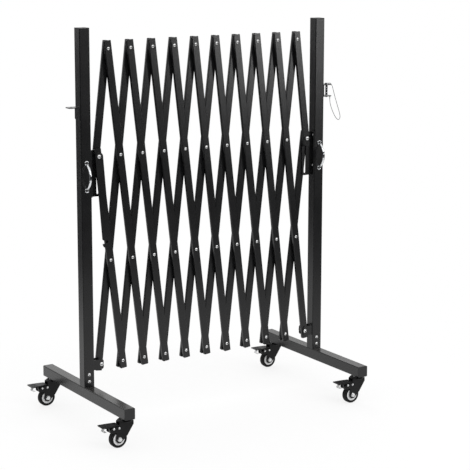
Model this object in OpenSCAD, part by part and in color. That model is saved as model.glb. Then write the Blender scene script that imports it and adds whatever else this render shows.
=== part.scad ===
// Expandable barrier gate: a folding lattice of steel channels between two posts on rolling feet.
// Millimetres, +Z up, origin on the floor under the middle of the bounding box.
// X runs along the gate, -Y is the side with the handles.

/* [Posts and feet] */
// Side of the square tube of posts and feet
tube = 40; // [36:1:46]
// Wall of the square tube
tube_wall = 2; // [1.5:0.25:3]
// Outer corner radius of the square tube
tube_r = 3; // [2:0.5:4]
// Height of a post above its foot
post_h = 1277; // [1250:1:1500]
// Length of a foot with its end caps
foot_len = 640; // [560:5:800]
// Thickness of the plastic end caps outside the tube
cap_t = 2.5; // [1.5:0.5:4]
// Height of the stub that the post slips over
stub_h = 60; // [56:1:80]
// Play of the post on its stub, each side
stub_fit = 0.2; // [0.1:0.05:0.5]
// Height of the lower foot bolt above the foot
foot_bolt_z = 19.5; // [16:0.5:24]
// Distance between the two foot bolts
foot_bolt_gap = 26; // [22:0.5:30]

/* [Lattice] */
// Distance between two pivots of a lattice bar
pitch = 378; // [360:1:385]
// Width of a lattice cell as the gate stands
cell_w = 88.4; // [60:0.1:140]
// Width of a lattice channel
bar_w = 27; // [22:0.5:28]
// Depth of a lattice channel
bar_d = 10; // [7:0.5:11]
// Sheet thickness of a lattice channel
bar_t = 1.5; // [1:0.1:2]
// Bend radius along the edges of a channel
bar_r = 2; // [1.2:0.1:2.6]
// Length of a channel beyond its last pivot
bar_end = 28; // [20:0.5:29]
// Corner radius of the cut ends
end_r = 3.5; // [2:0.5:5]
// Gap between the front and the back layer
layer_gap = 5; // [4.8:0.1:7]
// Height of the bottom pivots above the foot
low_pivot_z = 76; // [60:1:100]
// Distance from a post's face to its pivots
pivot_reach = 32; // [31:0.5:36]

/* [Rivets and bolts] */
// Diameter of a rivet shank
rivet_d = 6; // [5:0.1:7]
// Diameter of a rivet head
rivet_head_d = 11; // [9:0.5:13]
// Height of a rivet head
rivet_head_h = 2.4; // [1.6:0.1:2.6]
// Outer diameter of the spacer in a riveted joint
spacer_d = 12; // [10:0.5:14]
// Radial running fit of a pivot
pivot_fit = 0.08; // [0.05:0.01:0.1]
// Radial play of the pivots that close the lattice
loop_fit = 0.4; // [0.2:0.05:0.8]
// Side play of a channel between spacer and rivet
side_fit = 0.2; // [0.1:0.05:0.4]
// Diameter of the post bolts
bolt_d = 8; // [7:0.5:9]
// Head diameter of the post bolts
bolt_head_d = 14; // [12:0.5:16]
// Head height of the post bolts
bolt_head_h = 3; // [2.5:0.1:4]

/* [Guide and lower bracket] */
// Height of the slotted guide plate
guide_h = 166; // [164:1:180]
// Height of the guide's top above the bottom pivots
guide_top = 774; // [770:1:820]
// Reach of the guide plate from the post
guide_reach = 45; // [40:0.5:50]
// Plate thickness of the brackets
plate_t = 3; // [2:0.25:3.5]
// Thickness of the slotted guide plate
fin_t = 4; // [3:0.1:4.4]
// Free width of the slot beyond the bolt
slot_fit = 1; // [0.6:0.1:2]
// Margin of the slot to the plate's top and bottom
slot_end = 8; // [6:0.5:10]
// Height of the lower bracket
clevis_h = 36; // [32:1:44]
// Reach of the lower bracket from the post
clevis_reach = 40; // [38:0.5:46]

/* [Hook lever] */
// Distance from the lever's pivot to its notch
hook_len = 307; // [290:1:325]
// Width of the lever
hook_w = 30; // [26:0.5:32]
// Thickness of the lever
hook_t = 3; // [2:0.25:3.4]
// Width of the notch
notch_w = 11.5; // [10.5:0.1:13]
// Lean of the lever towards the lattice, degrees
hook_lean = 4.6; // [3:0.1:6]

/* [Handles] */
// Distance between the handle's screws
handle_gap = 96; // [80:1:120]
// Height of the handle's middle above the foot
handle_z = 760; // [700:1:900]
// Reach of the grip's centre line from the post
handle_reach = 31; // [26:0.5:38]
// Diameter of the grip
handle_d = 9; // [8:0.5:11]
// Diameter of the screw pads
pad_d = 14; // [13:0.5:17]

/* [Coupling] */
// Height of the tongue above the foot
tongue_z = 1003; // [900:1:1100]
// Reach of tongue and lug from the post
tongue_reach = 40; // [36:1:50]
// Width of tongue and lug
tongue_w = 36; // [30:1:38]
// Height of the tongue's upright leg
tongue_leg = 44; // [36:1:60]
// Distance from the post to the coupling pin
pin_reach = 26; // [24:0.5:30]
// Diameter of the coupling pin
pin_d = 9; // [8:0.5:10]
// Diameter of the pin's head
pin_head_d = 15; // [14:0.5:18]
// Radial running fit of the coupling pin
pin_fit = 0.1; // [0.05:0.01:0.1]
// Radial play of the pin in the tongue
tongue_play = 1; // [0.5:0.25:2]
// Clear height between the ears of the lug
lug_gap = 40; // [34:1:50]
// Diameter of the lanyard wire
wire_d = 2; // [1.6:0.2:3]

/* [Casters] */
// Height of a caster from floor to foot
caster_h = 103; // [98:1:115]
// Wheel diameter
wheel_d = 64; // [58:1:66]
// Tread width of a wheel
wheel_w = 20; // [18:0.5:21]
// Distance of the axle behind the swivel
trail = 28; // [24:1:32]
// Distance from a foot's end to the swivel
caster_in = 38; // [34:1:60]
// Sheet thickness of the fork
fork_t = 2.5; // [2:0.1:3]
// Gap between tyre and fork cheek
fork_gap = 2; // [1.5:0.1:3]
// Reach of the brake pedal from the swivel
pedal_reach = 97; // [94:1:104]
// Width of the brake pedal
pedal_w = 42; // [38:1:46]
// Diameter of the wheel's grey core
core_d = 44; // [40:1:48]
// Width of the raised ring of the core
ring_w = 7; // [4:0.5:8]

/* [Hidden] */
$fn = 48;
eps = 0.01;
// Gap at which a fastener sits on its seat
seat = 0.03;
rivet_tail_h = 1.8;
// Length of the wire's lower ferrule, and the gap between a ferrule and the end of the wire
ferrule = 8;
wire_gap = 0.1;
cells = 10;
paint = [0.13, 0.13, 0.14];
zinc = [0.78, 0.78, 0.76];
chrome = [0.86, 0.87, 0.88];
rubber = [0.07, 0.07, 0.07];

half = tube / 2;
lean = asin(cell_w / 2 / pitch);
rise = pitch * cos(lean);
gate_w = cells * cell_w + 2 * (half + pivot_reach);
// The box without the lanyard reaches from the left pedals to the lug
xl = -(gate_w + half + tongue_reach - pedal_reach) / 2;
xr = xl + gate_w;
foot_z = caster_h;
floor_post = foot_z + tube;
post_top = floor_post + post_h;
z4 = floor_post + low_pivot_z;
x0 = xl + half + pivot_reach;

// Layers of the lattice, from front to back
front_web = -layer_gap / 2 - bar_d;
back_web = layer_gap / 2;
head_y = front_web - rivet_head_h;
// The lever swings just in front of the rivet heads
lever_back = head_y - 0.6;
lever_front = lever_back - hook_t;
stub_side = tube - 2 * tube_wall - 2 * stub_fit;
cheek_y = wheel_w / 2 + fork_gap;
caster_y = foot_len / 2 - caster_in;
guide_z = z4 + guide_top - guide_h;
ear_in = layer_gap / 2 + bar_d + 0.5;
axle_z = wheel_d / 2;
crown_z = foot_z - 9;
crown_d = 54;
stem_d = 10;
axle_d = 8;
pin_small = 5;
cheek_end_d = 27;
// Hinge and stop pins of the brake, measured from the axle
brake_x = -21;
brake_z = axle_z + 40;
pedal_z = brake_z + 13;
pedal_t = 2.5;
// Side of the pedal next to the swivel
pedal_in = -31;
bush_d = 14;

function px(col) = x0 + col * cell_w;
function pz(row) = z4 + (4 - row) * rise;

// Square with round corners
module rsq(w, h, r) {
  square([w - 2 * r, h], center = true);
  square([w, h - 2 * r], center = true);
  for (i = [-1, 1])
    for (j = [-1, 1])
      translate([i * (w / 2 - r), j * (h / 2 - r)]) circle(r = r);
}

// Square tube along Z from its foot up
module tube_z(side, wall, r, len) {
  linear_extrude(len) difference() {
    rsq(side, side, r);
    rsq(side - 2 * wall, side - 2 * wall, max(r - wall, 0.5));
  }
}

// Cylinder along +Y that starts at y0
module cyl_y(d, y0, y1) {
  translate([0, y1, 0]) rotate([90, 0, 0]) cylinder(d = d, h = y1 - y0);
}

// Hexagon nut along +Y
module nut_y(af, y0, y1) {
  translate([0, y1, 0]) rotate([90, 0, 0]) cylinder(d = af / cos(30), h = y1 - y0, $fn = 6);
}

// Low domed head that stands on the plane y0 and faces -Y, with a dimple
module dome_y(d, h, y0) {
  r = (d * d / 4 + h * h) / (2 * h);
  translate([0, y0, 0]) rotate([90, 0, 0]) difference() {
    intersection() {
      translate([0, 0, h - r]) sphere(r = r, $fn = 64);
      cylinder(d = d, h = h + 1);
    }
    translate([0, 0, h - d * 0.09]) cylinder(d = d * 0.36, h = h);
  }
}

// One lattice channel hanging from its top pivot, with n pivots and open back
module channel(n, holes) {
  len = (n - 1) * pitch + 2 * bar_end;
  difference() {
    intersection() {
      translate([0, 0, bar_end - len]) linear_extrude(len) difference() {
        union() {
          translate([-bar_w / 2, bar_r]) square([bar_w, bar_d - bar_r]);
          translate([-bar_w / 2 + bar_r, 0]) square([bar_w - 2 * bar_r, bar_r * 2]);
          for (s = [-1, 1]) translate([s * (bar_w / 2 - bar_r), bar_r]) circle(r = bar_r);
        }
        translate([-bar_w / 2 + bar_t, bar_t + 0.5]) square([bar_w - 2 * bar_t, bar_d]);
        translate([-bar_w / 2 + bar_t + 0.5, bar_t]) square([bar_w - 2 * bar_t - 1, bar_d]);
      }
      translate([0, bar_d + 1, bar_end - len / 2]) rotate([90, 0, 0])
        linear_extrude(bar_d + 2) rsq(bar_w, len, end_r);
    }
    for (i = [0:n - 1])
      translate([0, 0, -i * pitch]) cyl_y(holes[i], -1, bar_t + 1);
  }
}

// Rivet with its spacer sleeve, tight in a front channel and running in a back one
module rivet() {
  back = back_web + bar_t + side_fit;
  dome_y(rivet_head_d, rivet_head_h, front_web - seat);
  cyl_y(rivet_d, front_web - seat - eps, back + eps);
  cyl_y(spacer_d, front_web + bar_t + seat, back_web - side_fit);
  cyl_y(rivet_head_d - 1, back, back + rivet_tail_h);
}

tight_hole = rivet_d + 2 * seat;
joint_hole = rivet_d + 2 * pivot_fit;
loop_hole = rivet_d + 2 * loop_fit;
post_hole = bolt_d + 2 * pivot_fit;
post_loop = bolt_d + 2 * loop_fit;

// Front channel k: down to the right. The end one starts in row 2, the last one stops there
module bar_f(k) {
  top = k < 0 ? 2 : 1;
  last = k > 8 ? 2 : 4;
  n = last - top + 1;
  holes = [for (r = [top:last])
    (k < 0 && r == 2) ? bolt_d + 2 * seat : (k == 9 && r == 2) ? post_loop
    : (k == 8 && r == 4) ? post_hole : tight_hole];
  rows = [for (r = [top:last]) if (!(k < 0 && r == 2) && !(k == 9 && r == 2) && !(k == 8 && r == 4)) r];
  translate([px(k < 0 ? 0 : k + 0.5), 0, pz(top)]) rotate([0, -lean, 0]) {
    color(paint) translate([0, front_web, 0]) channel(n, holes);
    color(zinc) for (r = rows) translate([0, 0, -(r - top) * pitch]) rivet();
  }
}

// Rivets of back channel k that run close. The full-length channels b1, f1, b4, f4, b7, f7, b10 carry
// the load from post to post with every rivet close, and each other channel has one close rivet
function is_close(k, r) =
  k % 3 == 1 || (k % 3 == 2 && r == 2) || (k % 3 == 0 && r == 3) || ((k == 0 || k == 9) && r == 1);

// Back channel k: down to the left. The first one stops in row 2, the last one starts there
module bar_b(k) {
  top = k > 9 ? 2 : 1;
  last = k < 1 ? 2 : 4;
  n = last - top + 1;
  holes = [for (r = [top:last])
    (k == 0 && r == 2) ? post_loop : (k == 10 && r == 2) ? bolt_d + 2 * seat : (k == 1 && r == 4) ? post_hole
    : is_close(k, r) ? joint_hole : loop_hole];
  translate([px(k > 9 ? 10 : k + 0.5), 0, pz(top)]) rotate([0, lean, 0])
    color(paint) translate([0, back_web, 0]) channel(n, holes);
}

// Post tube with its bolt and screw holes; s is 1 where the lattice is on +X
module post(x, s) {
  color(paint) translate([x, 0, 0]) difference() {
    translate([0, 0, floor_post]) tube_z(tube, tube_wall, tube_r, post_h - cap_t);
    for (i = [0, 1]) translate([0, 0, floor_post + foot_bolt_z + i * foot_bolt_gap])
      cyl_y(bolt_d, -half - 1, half + 1);
    for (i = [-1, 1]) translate([0, 0, floor_post + handle_z + i * handle_gap / 2])
      cyl_y(5, -half - 1, 0);
    for (z = guide_screws) translate([0, guide_screw_y, guide_z + z])
      rotate([0, 90 * s, 0]) cylinder(d = 4.5, h = half + 1);
  }
}

// Foot tube along Y with the welded stub of the post
module foot(x) {
  len = foot_len - 2 * cap_t;
  color(paint) translate([x, 0, 0]) difference() {
    union() {
      translate([0, len / 2, foot_z + half]) rotate([90, 0, 0])
        tube_z(tube, tube_wall, tube_r, len);
      translate([0, 0, floor_post - tube_wall / 2])
        tube_z(stub_side, tube_wall + 0.5, tube_r - 1, stub_h + tube_wall / 2);
    }
    for (i = [0, 1]) translate([0, 0, floor_post + foot_bolt_z + i * foot_bolt_gap])
      cyl_y(bolt_d, -half, half);
    for (j = [-1, 1]) translate([0, j * caster_y, foot_z - 1]) cylinder(d = stem_d, h = tube_wall + 2);
  }
}

// Plastic cap for the tube end at z = 0, plug downwards
module cap() {
  plug = tube - 2 * tube_wall - 0.2;
  linear_extrude(cap_t) rsq(tube, tube, tube_r);
  translate([0, 0, -12]) difference() {
    linear_extrude(12 + eps) rsq(plug, plug, max(tube_r - tube_wall, 1));
    translate([0, 0, -1]) linear_extrude(11) rsq(plug - 5, plug - 5, 1);
  }
}

module caps(x) {
  color(rubber) {
    translate([x, 0, post_top - cap_t]) cap();
    for (s = [-1, 1]) translate([x, s * (foot_len / 2 - cap_t), foot_z + half])
      rotate([-90 * s, 0, 0]) cap();
  }
}

guide_screw_y = -11;
guide_screws = [38, guide_h - 12];
// Angle bracket: one leg on the post's inner face, the slotted one between the two layers
module guide(x, s) {
  slot_w = bolt_d + slot_fit;
  color(paint) translate([x, 0, 0]) mirror([s < 0 ? 1 : 0, 0, 0]) difference() {
    union() {
      translate([half, fin_t / 2 - 20, guide_z]) cube([plate_t, 20, guide_h]);
      translate([half, fin_t / 2, guide_z + guide_h / 2]) rotate([90, 0, 0]) linear_extrude(fin_t)
        difference() {
          translate([guide_reach / 2, 0]) rsq(guide_reach, guide_h, 4);
          translate([pivot_reach, 0]) rsq(slot_w, guide_h - 2 * slot_end, slot_w / 2 - eps);
        }
      translate([half, -fin_t / 2, guide_z]) cube([4, fin_t, guide_h]);
    }
    for (z = guide_screws) translate([half - 1, guide_screw_y, guide_z + z])
      rotate([0, 90, 0]) cylinder(d = 4.5, h = plate_t + 2);
  }
}

// U bracket of the bottom pivot, with round-cornered ears in front and behind
module clevis(x, s) {
  w = 2 * (ear_in + plate_t);
  color(paint) translate([x, 0, z4]) mirror([s < 0 ? 1 : 0, 0, 0]) difference() {
    union() {
      translate([half, -w / 2, -clevis_h / 2]) cube([plate_t, w, clevis_h]);
      for (j = [-1, 1]) translate([half, j * (ear_in + plate_t / 2) + plate_t / 2, 0])
        rotate([90, 0, 0]) linear_extrude(plate_t) {
          translate([clevis_reach / 2, 0]) rsq(clevis_reach, clevis_h, 8);
          translate([0, -clevis_h / 2]) square([10, clevis_h]);
        }
    }
    translate([half + pivot_reach, 0, 0]) cyl_y(bolt_d, -w / 2 - 1, w / 2 + 1);
  }
}

pad_floor = 2.5;
handle_screw_d = 9.4;
// Chrome bow handle: an arc of round rod between two screw pads on the post's front face
module handle(x) {
  c = handle_gap / 2 - 3;
  h = handle_reach - 2;
  r = (c * c + h * h) / (2 * h);
  a = asin(c / r);
  color(chrome) translate([x, -half, floor_post + handle_z]) difference() {
    union() {
      intersection() {
        translate([0, r - handle_reach, 0]) rotate([0, -90, 0]) rotate([0, 0, -90 - a - 6])
          rotate_extrude(angle = 2 * a + 12, $fn = 96) translate([r, 0]) circle(d = handle_d, $fn = 32);
        translate([-20, -60, -handle_gap]) cube([40, 60, 2 * handle_gap]);
      }
      for (i = [-1, 1]) translate([0, 0, i * handle_gap / 2]) {
        cyl_y(pad_d, -3.5, 0);
        cyl_y(pad_d - 2, -4.5, 0);
      }
    }
    for (i = [-1, 1]) translate([0, 0, i * handle_gap / 2]) {
      cyl_y(5, -10, 1);
      cyl_y(handle_screw_d + 0.6, -12, -pad_floor);
    }
  }
}

// Coupling tongue: an angle with a pin hole on the outer face of the left post
module tongue() {
  color(paint) translate([xl - half, 0, floor_post + tongue_z]) difference() {
    union() {
      translate([-tongue_reach / 2, 0, -plate_t / 2]) linear_extrude(plate_t)
        rsq(tongue_reach, tongue_w, 6);
      translate([-10, -tongue_w / 2, -plate_t / 2]) cube([10, tongue_w, plate_t]);
      translate([0, 0, plate_t / 2 - tongue_leg / 2]) rotate([0, -90, 0]) linear_extrude(plate_t)
        rsq(tongue_leg, tongue_w, 5);
      translate([-plate_t, -tongue_w / 2, -plate_t / 2 - 6]) cube([plate_t, tongue_w, plate_t + 6]);
    }
    translate([-pin_reach, 0, -plate_t]) cylinder(d = pin_d + 2 * tongue_play, h = 2 * plate_t);
  }
}

// Coupling lug: a U of plate with two ears that hold the pin, on the right post
module lug() {
  h = lug_gap + 2 * plate_t;
  color(paint) translate([xr + half, 0, floor_post + tongue_z]) difference() {
    union() {
      translate([0, -tongue_w / 2, -h / 2]) cube([plate_t, tongue_w, h]);
      for (j = [-1, 1]) translate([0, 0, j * (lug_gap + plate_t) / 2 - plate_t / 2])
        linear_extrude(plate_t) {
          translate([tongue_reach / 2, 0]) rsq(tongue_reach, tongue_w, 8);
          translate([0, -tongue_w / 2]) square([10, tongue_w]);
        }
    }
    translate([pin_reach, 0, -h / 2 - 1]) cylinder(d = pin_d + 2 * pin_fit, h = h + 2);
  }
  color(zinc) translate([xr + half + pin_reach + 8, -11, floor_post + tongue_z - h / 2 - ferrule])
    cylinder(d = 3.6, h = ferrule);
}

pin_top = floor_post + tongue_z + lug_gap / 2 + plate_t;
// Coupling pin: flat head on the upper ear, chamfered point, ferrule for the wire on its rim
module pin() {
  len = lug_gap + 2 * plate_t + 5;
  color(zinc) translate([xr + half + pin_reach, 0, pin_top]) {
    translate([0, 0, -len + 2]) cylinder(d = pin_d, h = len);
    translate([0, 0, -len]) cylinder(d1 = pin_d - 4, d2 = pin_d, h = 2);
    translate([0, 0, seat]) cylinder(d = pin_head_d, h = 4);
    translate([0, 0, 4]) cylinder(d1 = pin_head_d, d2 = pin_head_d - 2, h = 1);
    translate([pin_head_d / 2 - 1, 0, 2.5]) rotate([0, 90, 0]) cylinder(d = 3.6, h = 7);
  }
}

// Route of the wire from the pin's ferrule to the one under the lower ear, about the pin's middle
wire_x = pin_head_d / 2 + 6 + wire_gap;
wire_up = lug_gap / 2 + plate_t + 2.5;
wire_low = -lug_gap / 2 - plate_t - ferrule - wire_gap;
wire_pts = [[wire_x, 0, wire_up], [wire_x + 3.4, 0, wire_up - 0.5], [23, -0.4, 19], [29, -1, 5],
  [38, -1, -24], [50, -2, -60], [61, -2, -92], [63, -3, -108], [55, -4, -117], [42, -5, -108],
  [27, -7, -86], [15, -9, -62], [9, -11, -44], [8, -11, wire_low - 3], [8, -11, wire_low]];
module lanyard() {
  sides = 8;
  color([0.55, 0.55, 0.55]) translate([xr + half + pin_reach, 0, floor_post + tongue_z])
    sweep(wire_path(wire_pts, 6), wire_d / 2, sides);
}

// Points of a smooth curve through the given ones, m steps between two of them
function wire_path(p, m) = let (n = len(p))
  [for (i = [0:n - 2]) for (j = [0:m - 1]) let (t = j / m,
    a = p[max(i - 1, 0)], b = p[i], c = p[i + 1], d = p[min(i + 2, n - 1)])
    0.5 * (2 * b + (c - a) * t + (2 * a - 5 * b + 4 * c - d) * t * t + (3 * b - a - 3 * c + d) * t * t * t),
    p[n - 1]];
function unit(v) = v / norm(v);
module sweep(p, r, sides) {
  n = len(p);
  rings = [for (i = [0:n - 1])
    let (t = unit(p[min(i + 1, n - 1)] - p[max(i - 1, 0)]), u = unit(cross(t, [0, 1, 0])), v = cross(u, t))
    for (k = [0:sides - 1]) p[i] + r * cos(360 * k / sides) * u + r * sin(360 * k / sides) * v];
  faces = concat([[for (k = [0:sides - 1]) k]],
    [for (i = [0:n - 2]) for (k = [0:sides - 1]) let (a = i * sides + k, b = i * sides + (k + 1) % sides)
      [a, a + sides, b + sides, b]],
    [[for (k = [sides - 1:-1:0]) (n - 1) * sides + k]]);
  polyhedron(points = rings, faces = faces);
}

// Bolts of a post: foot bolts, handle screws, guide screws and the bottom pivot bolt
module bolts(x, s) {
  color(zinc) translate([x, 0, 0]) {
    for (i = [0, 1]) translate([0, 0, floor_post + foot_bolt_z + i * foot_bolt_gap]) {
      dome_y(bolt_head_d - 2, bolt_head_h, -half - seat);
      cyl_y(bolt_d - 2 * seat, -half - seat - eps, half + 8);
      nut_y(13, half + seat, half + 6);
    }
    for (i = [-1, 1]) translate([0, 0, floor_post + handle_z + i * handle_gap / 2]) {
      dome_y(handle_screw_d, 2.4, -half - pad_floor - seat);
      cyl_y(5 - 2 * seat, -half - pad_floor - seat - eps, -half + 6);
    }
    for (z = guide_screws) translate([s * (half + plate_t), guide_screw_y, guide_z + z])
      rotate([0, 0, s * 90]) {
        dome_y(8, 1.4, -seat);
        cyl_y(4.4, -seat - eps, 8);
      }
    translate([s * (half + pivot_reach), 0, z4]) {
      w = ear_in + plate_t;
      dome_y(bolt_head_d, bolt_head_h, -w - seat);
      cyl_y(bolt_d - 2 * seat, -w - seat - eps, w + 7);
      nut_y(13, w + seat, w + 5);
      if (s > 0) {
        cyl_y(spacer_d, -ear_in, back_web - side_fit);
        cyl_y(spacer_d, back_web + bar_t + side_fit, ear_in);
      } else {
        cyl_y(spacer_d, -ear_in, front_web - side_fit);
        cyl_y(spacer_d, front_web + bar_t + side_fit, ear_in);
      }
    }
  }
}

// Sliding bolt of the second row: it passes both layers and the guide's slot
module slide_bolt(col) {
  back = back_web + bar_t;
  color(zinc) translate([px(col), 0, pz(2)]) {
    dome_y(bolt_head_d, bolt_head_h, lever_front - side_fit);
    cyl_y(bolt_d, lever_front - side_fit - eps, back + side_fit + 7);
    cyl_y(spacer_d, lever_back + side_fit, front_web - seat);
    nut_y(13, back + side_fit, back + side_fit + 5);
  }
}

// Hook lever on the left sliding bolt, with a notch that drops over the right one
module hook_lever() {
  color(paint) translate([px(0), lever_back, pz(2)]) rotate([0, -hook_lean, 0]) rotate([90, 0, 0])
    linear_extrude(hook_t) difference() {
      union() {
        circle(d = hook_w);
        translate([-hook_w / 2, -hook_len - 8]) square([hook_w, hook_len + 8]);
        translate([0, -hook_len - 8]) circle(d = hook_w);
      }
      circle(d = bolt_d + 2 * pivot_fit);
      translate([0, -hook_len]) circle(d = notch_w);
      translate([-hook_w, -hook_len - notch_w / 2]) square([hook_w, notch_w]);
      translate([-hook_w / 2 - 1, -hook_len + notch_w / 2 - eps]) difference() {
        square([8, 7]);
        translate([8, 7]) circle(r = 7);
      }
    }
}

// Fixed part of the casters under a foot: stem, washer and upper race
module stems(x) {
  color(zinc) for (j = [-1, 1]) translate([x, j * caster_y, foot_z]) {
    translate([0, 0, -12]) cylinder(d = stem_d - 0.2, h = 12 + tube_wall + 8);
    translate([0, 0, -8.6]) cylinder(d = 29, h = 8.6 - seat);
    translate([0, 0, tube_wall + seat]) cylinder(d = 17 / cos(30), h = 6, $fn = 6);
  }
}

// Outline of a fork cheek seen from the front, with the axle at the origin
module cheek2d() {
  top = crown_z - axle_z - 0.4;
  circle(d = cheek_end_d);
  polygon([[trail + 25, top], [trail + 27, top - 2], [trail + 27, top - 14], [trail + 3, 11], [10.5, -8],
    [-10.5, -8], [-13, 4], [-11.5, 25], [brake_x - 10, 24], [brake_x - 15, 29], [brake_x - 15, 37],
    [brake_x - 9, 43], [0, 48], [trail - 26, top]]);
}

// Swivel fork: round crown with the ball race on top, two cheeks, axle bolt and brake pins
module fork(x, y) {
  w = cheek_y + fork_t;
  translate([x, y, 0]) {
    color(paint) difference() {
      union() {
        rotate_extrude($fn = 64) polygon([[stem_d / 2 + 0.1, crown_z - fork_t],
          [crown_d / 2 - 1, crown_z - fork_t], [crown_d / 2, crown_z - fork_t + 1],
          [crown_d / 2, crown_z + 0.6], [crown_d / 2 - 5, crown_z + 4.5], [15.2, crown_z + 4.5],
          [15.2, crown_z], [stem_d / 2 + 0.1, crown_z]]);
        for (j = [-1, 1]) translate([-trail, j * (cheek_y + fork_t / 2) + fork_t / 2, axle_z])
          rotate([90, 0, 0]) linear_extrude(fork_t) cheek2d();
      }
      translate([-trail, 0, axle_z]) cyl_y(axle_d, -w - 1, w + 1);
      for (i = [-1, 1]) translate([brake_x / 2 + i * brake_x / 2 - trail, 0, brake_z])
        cyl_y(pin_small, -w - 1, w + 1);
    }
    color(zinc) {
      translate([-trail, 0, axle_z]) {
        cyl_y(axle_d - 2 * seat, -w - 3, w + 5);
        cyl_y(16, -w - 1.2, -w - seat);
        nut_y(13, -w - 5.5, -w - 1.2);
        nut_y(13, w + seat, w + 5.5);
      }
      for (i = [-1, 1]) translate([brake_x / 2 + i * brake_x / 2 - trail, 0, brake_z]) {
        cyl_y(pin_small - 2 * seat, -w - eps, w + eps);
        dome_y(pin_small + 3, 1.6, -w - seat);
        cyl_y(pin_small + 2, w + seat, w + 1.4);
      }
    }
  }
}

// Wheel: black tyre with round shoulders, grey core with a raised ring, steel bush
module wheel(x, y) {
  r = wheel_d / 2;
  bore = axle_d / 2 + pivot_fit;
  core = core_d / 2;
  translate([x - trail, y + wheel_w / 2, axle_z]) rotate([90, 0, 0]) {
    color(rubber) rotate_extrude($fn = 96) difference() {
      union() {
        translate([core + seat, 0]) square([r - core - 4 - seat, wheel_w]);
        translate([core + seat, 4]) square([r - core - seat, wheel_w - 8]);
        for (z = [4, wheel_w - 4]) translate([r - 4, z]) circle(r = 4);
      }
      for (z = [-1, wheel_w - 0.8]) translate([core + 2.5, z]) square([1.2, 1.8]);
    }
    color([0.66, 0.66, 0.64]) rotate_extrude($fn = 96) difference() {
      translate([bush_d / 2 + seat, 0.5]) square([core - bush_d / 2 - seat, wheel_w - 1]);
      for (z = [-0.5, wheel_w - 3.5]) translate([bush_d / 2 + 2, z])
        square([core - bush_d / 2 - 2 - ring_w, 4]);
    }
    color(zinc) rotate_extrude($fn = 48)
      translate([bore, -fork_gap + 0.3]) square([bush_d / 2 - bore, wheel_w + 2 * fork_gap - 0.6]);
  }
}

// Brake pedal: pressed plate over the fork, two webs on the hinge pin, shoe above the tyre, spring tab
module pedal(x, y) {
  hinge_x = brake_x - trail;
  hinge_z = brake_z;
  tread_z = pedal_z;
  inner = cheek_y - 0.4;
  translate([x, y, 0]) {
    color(paint) difference() {
      union() {
        translate([0, 0, tread_z - pedal_t]) linear_extrude(pedal_t)
          polygon([[-pedal_reach + 5, -pedal_w / 2], [-pedal_reach + 1.5, -pedal_w / 2 + 1.5],
            [-pedal_reach, -pedal_w / 2 + 6], [-pedal_reach, pedal_w / 2 - 6],
            [-pedal_reach + 1.5, pedal_w / 2 - 1.5], [-pedal_reach + 5, pedal_w / 2],
            [hinge_x - 14, pedal_w / 2 - 1], [pedal_in, pedal_w / 2 - 5],
            [pedal_in, 5 - pedal_w / 2], [hinge_x - 14, 1 - pedal_w / 2]]);
        for (i = [0:3]) translate([-pedal_reach + 8 + i * 6, 0, tread_z - eps])
          rotate([90, 0, 0]) translate([0, 0, -pedal_w / 2 + 5]) cylinder(d = 2, h = pedal_w - 10);
        for (j = [-1, 1]) translate([0, j * (pedal_w / 2 - 4.5) + 1, 0]) rotate([90, 0, 0])
          linear_extrude(2) polygon([[-pedal_reach + 9, tread_z - 1], [-pedal_reach + 13, tread_z - 6],
            [hinge_x - 16, tread_z - 6], [hinge_x - 14, tread_z - 1]]);
        for (j = [-1, 1]) translate([0, j * (inner - 1.25) + 1.25, 0]) rotate([90, 0, 0])
          linear_extrude(2.5) polygon([[hinge_x - 12, tread_z - 1], [hinge_x - 5, hinge_z - 4],
            [hinge_x + 5, hinge_z - 4], [pedal_in - 1, tread_z - 1]]);
        translate([0, 6, 0]) rotate([90, 0, 0]) linear_extrude(12)
          polygon([[hinge_x - 16, tread_z - 1], [hinge_x - 11, 62], [hinge_x - 8.5, 55.5],
            [hinge_x - 5, 56.5], [hinge_x - 7, 64], [hinge_x - 9, tread_z - 1]]);
        translate([hinge_x, 0, hinge_z]) cyl_y(pin_small + 4, -inner, inner);
      }
      translate([hinge_x, 0, hinge_z]) cyl_y(pin_small + 2 * pivot_fit, -inner - 1, inner + 1);
    }
    color(zinc) translate([0, 8, 0]) rotate([90, 0, 0]) linear_extrude(16)
      polygon([[-78, tread_z - pedal_t - 0.05], [-80, tread_z - pedal_t - 0.05], [-89, 66], [-84, 62], [-75, 62],
        [-75, 63.6], [-83, 63.6], [-86.6, 66.4]]);
  }
}

post(xl, 1);  // post_left
foot(xl);  // foot_left
caps(xl);  // caps_left
guide(xl, 1);  // guide_left
clevis(xl, 1);  // clevis_left
handle(xl);  // handle_left
tongue();
bolts(xl, 1);  // bolts_left
stems(xl);  // stems_left
post(xr, -1);  // post_right
foot(xr);  // foot_right
caps(xr);  // caps_right
guide(xr, -1);  // guide_right
clevis(xr, -1);  // clevis_right
handle(xr);  // handle_right
lug();
bolts(xr, -1);  // bolts_right
stems(xr);  // stems_right
pin();
lanyard();
slide_bolt(0);  // slide_bolt_left
slide_bolt(10);  // slide_bolt_right
hook_lever();
bar_f(-1);  // bar_f_end
bar_f(0);  // bar_f0
bar_f(1);  // bar_f1
bar_f(2);  // bar_f2
bar_f(3);  // bar_f3
bar_f(4);  // bar_f4
bar_f(5);  // bar_f5
bar_f(6);  // bar_f6
bar_f(7);  // bar_f7
bar_f(8);  // bar_f8
bar_f(9);  // bar_f9
bar_b(0);  // bar_b0
bar_b(1);  // bar_b1
bar_b(2);  // bar_b2
bar_b(3);  // bar_b3
bar_b(4);  // bar_b4
bar_b(5);  // bar_b5
bar_b(6);  // bar_b6
bar_b(7);  // bar_b7
bar_b(8);  // bar_b8
bar_b(9);  // bar_b9
bar_b(10);  // bar_b10
fork(xl, caster_y);  // fork_left_far
wheel(xl, caster_y);  // wheel_left_far
pedal(xl, caster_y);  // pedal_left_far
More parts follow.
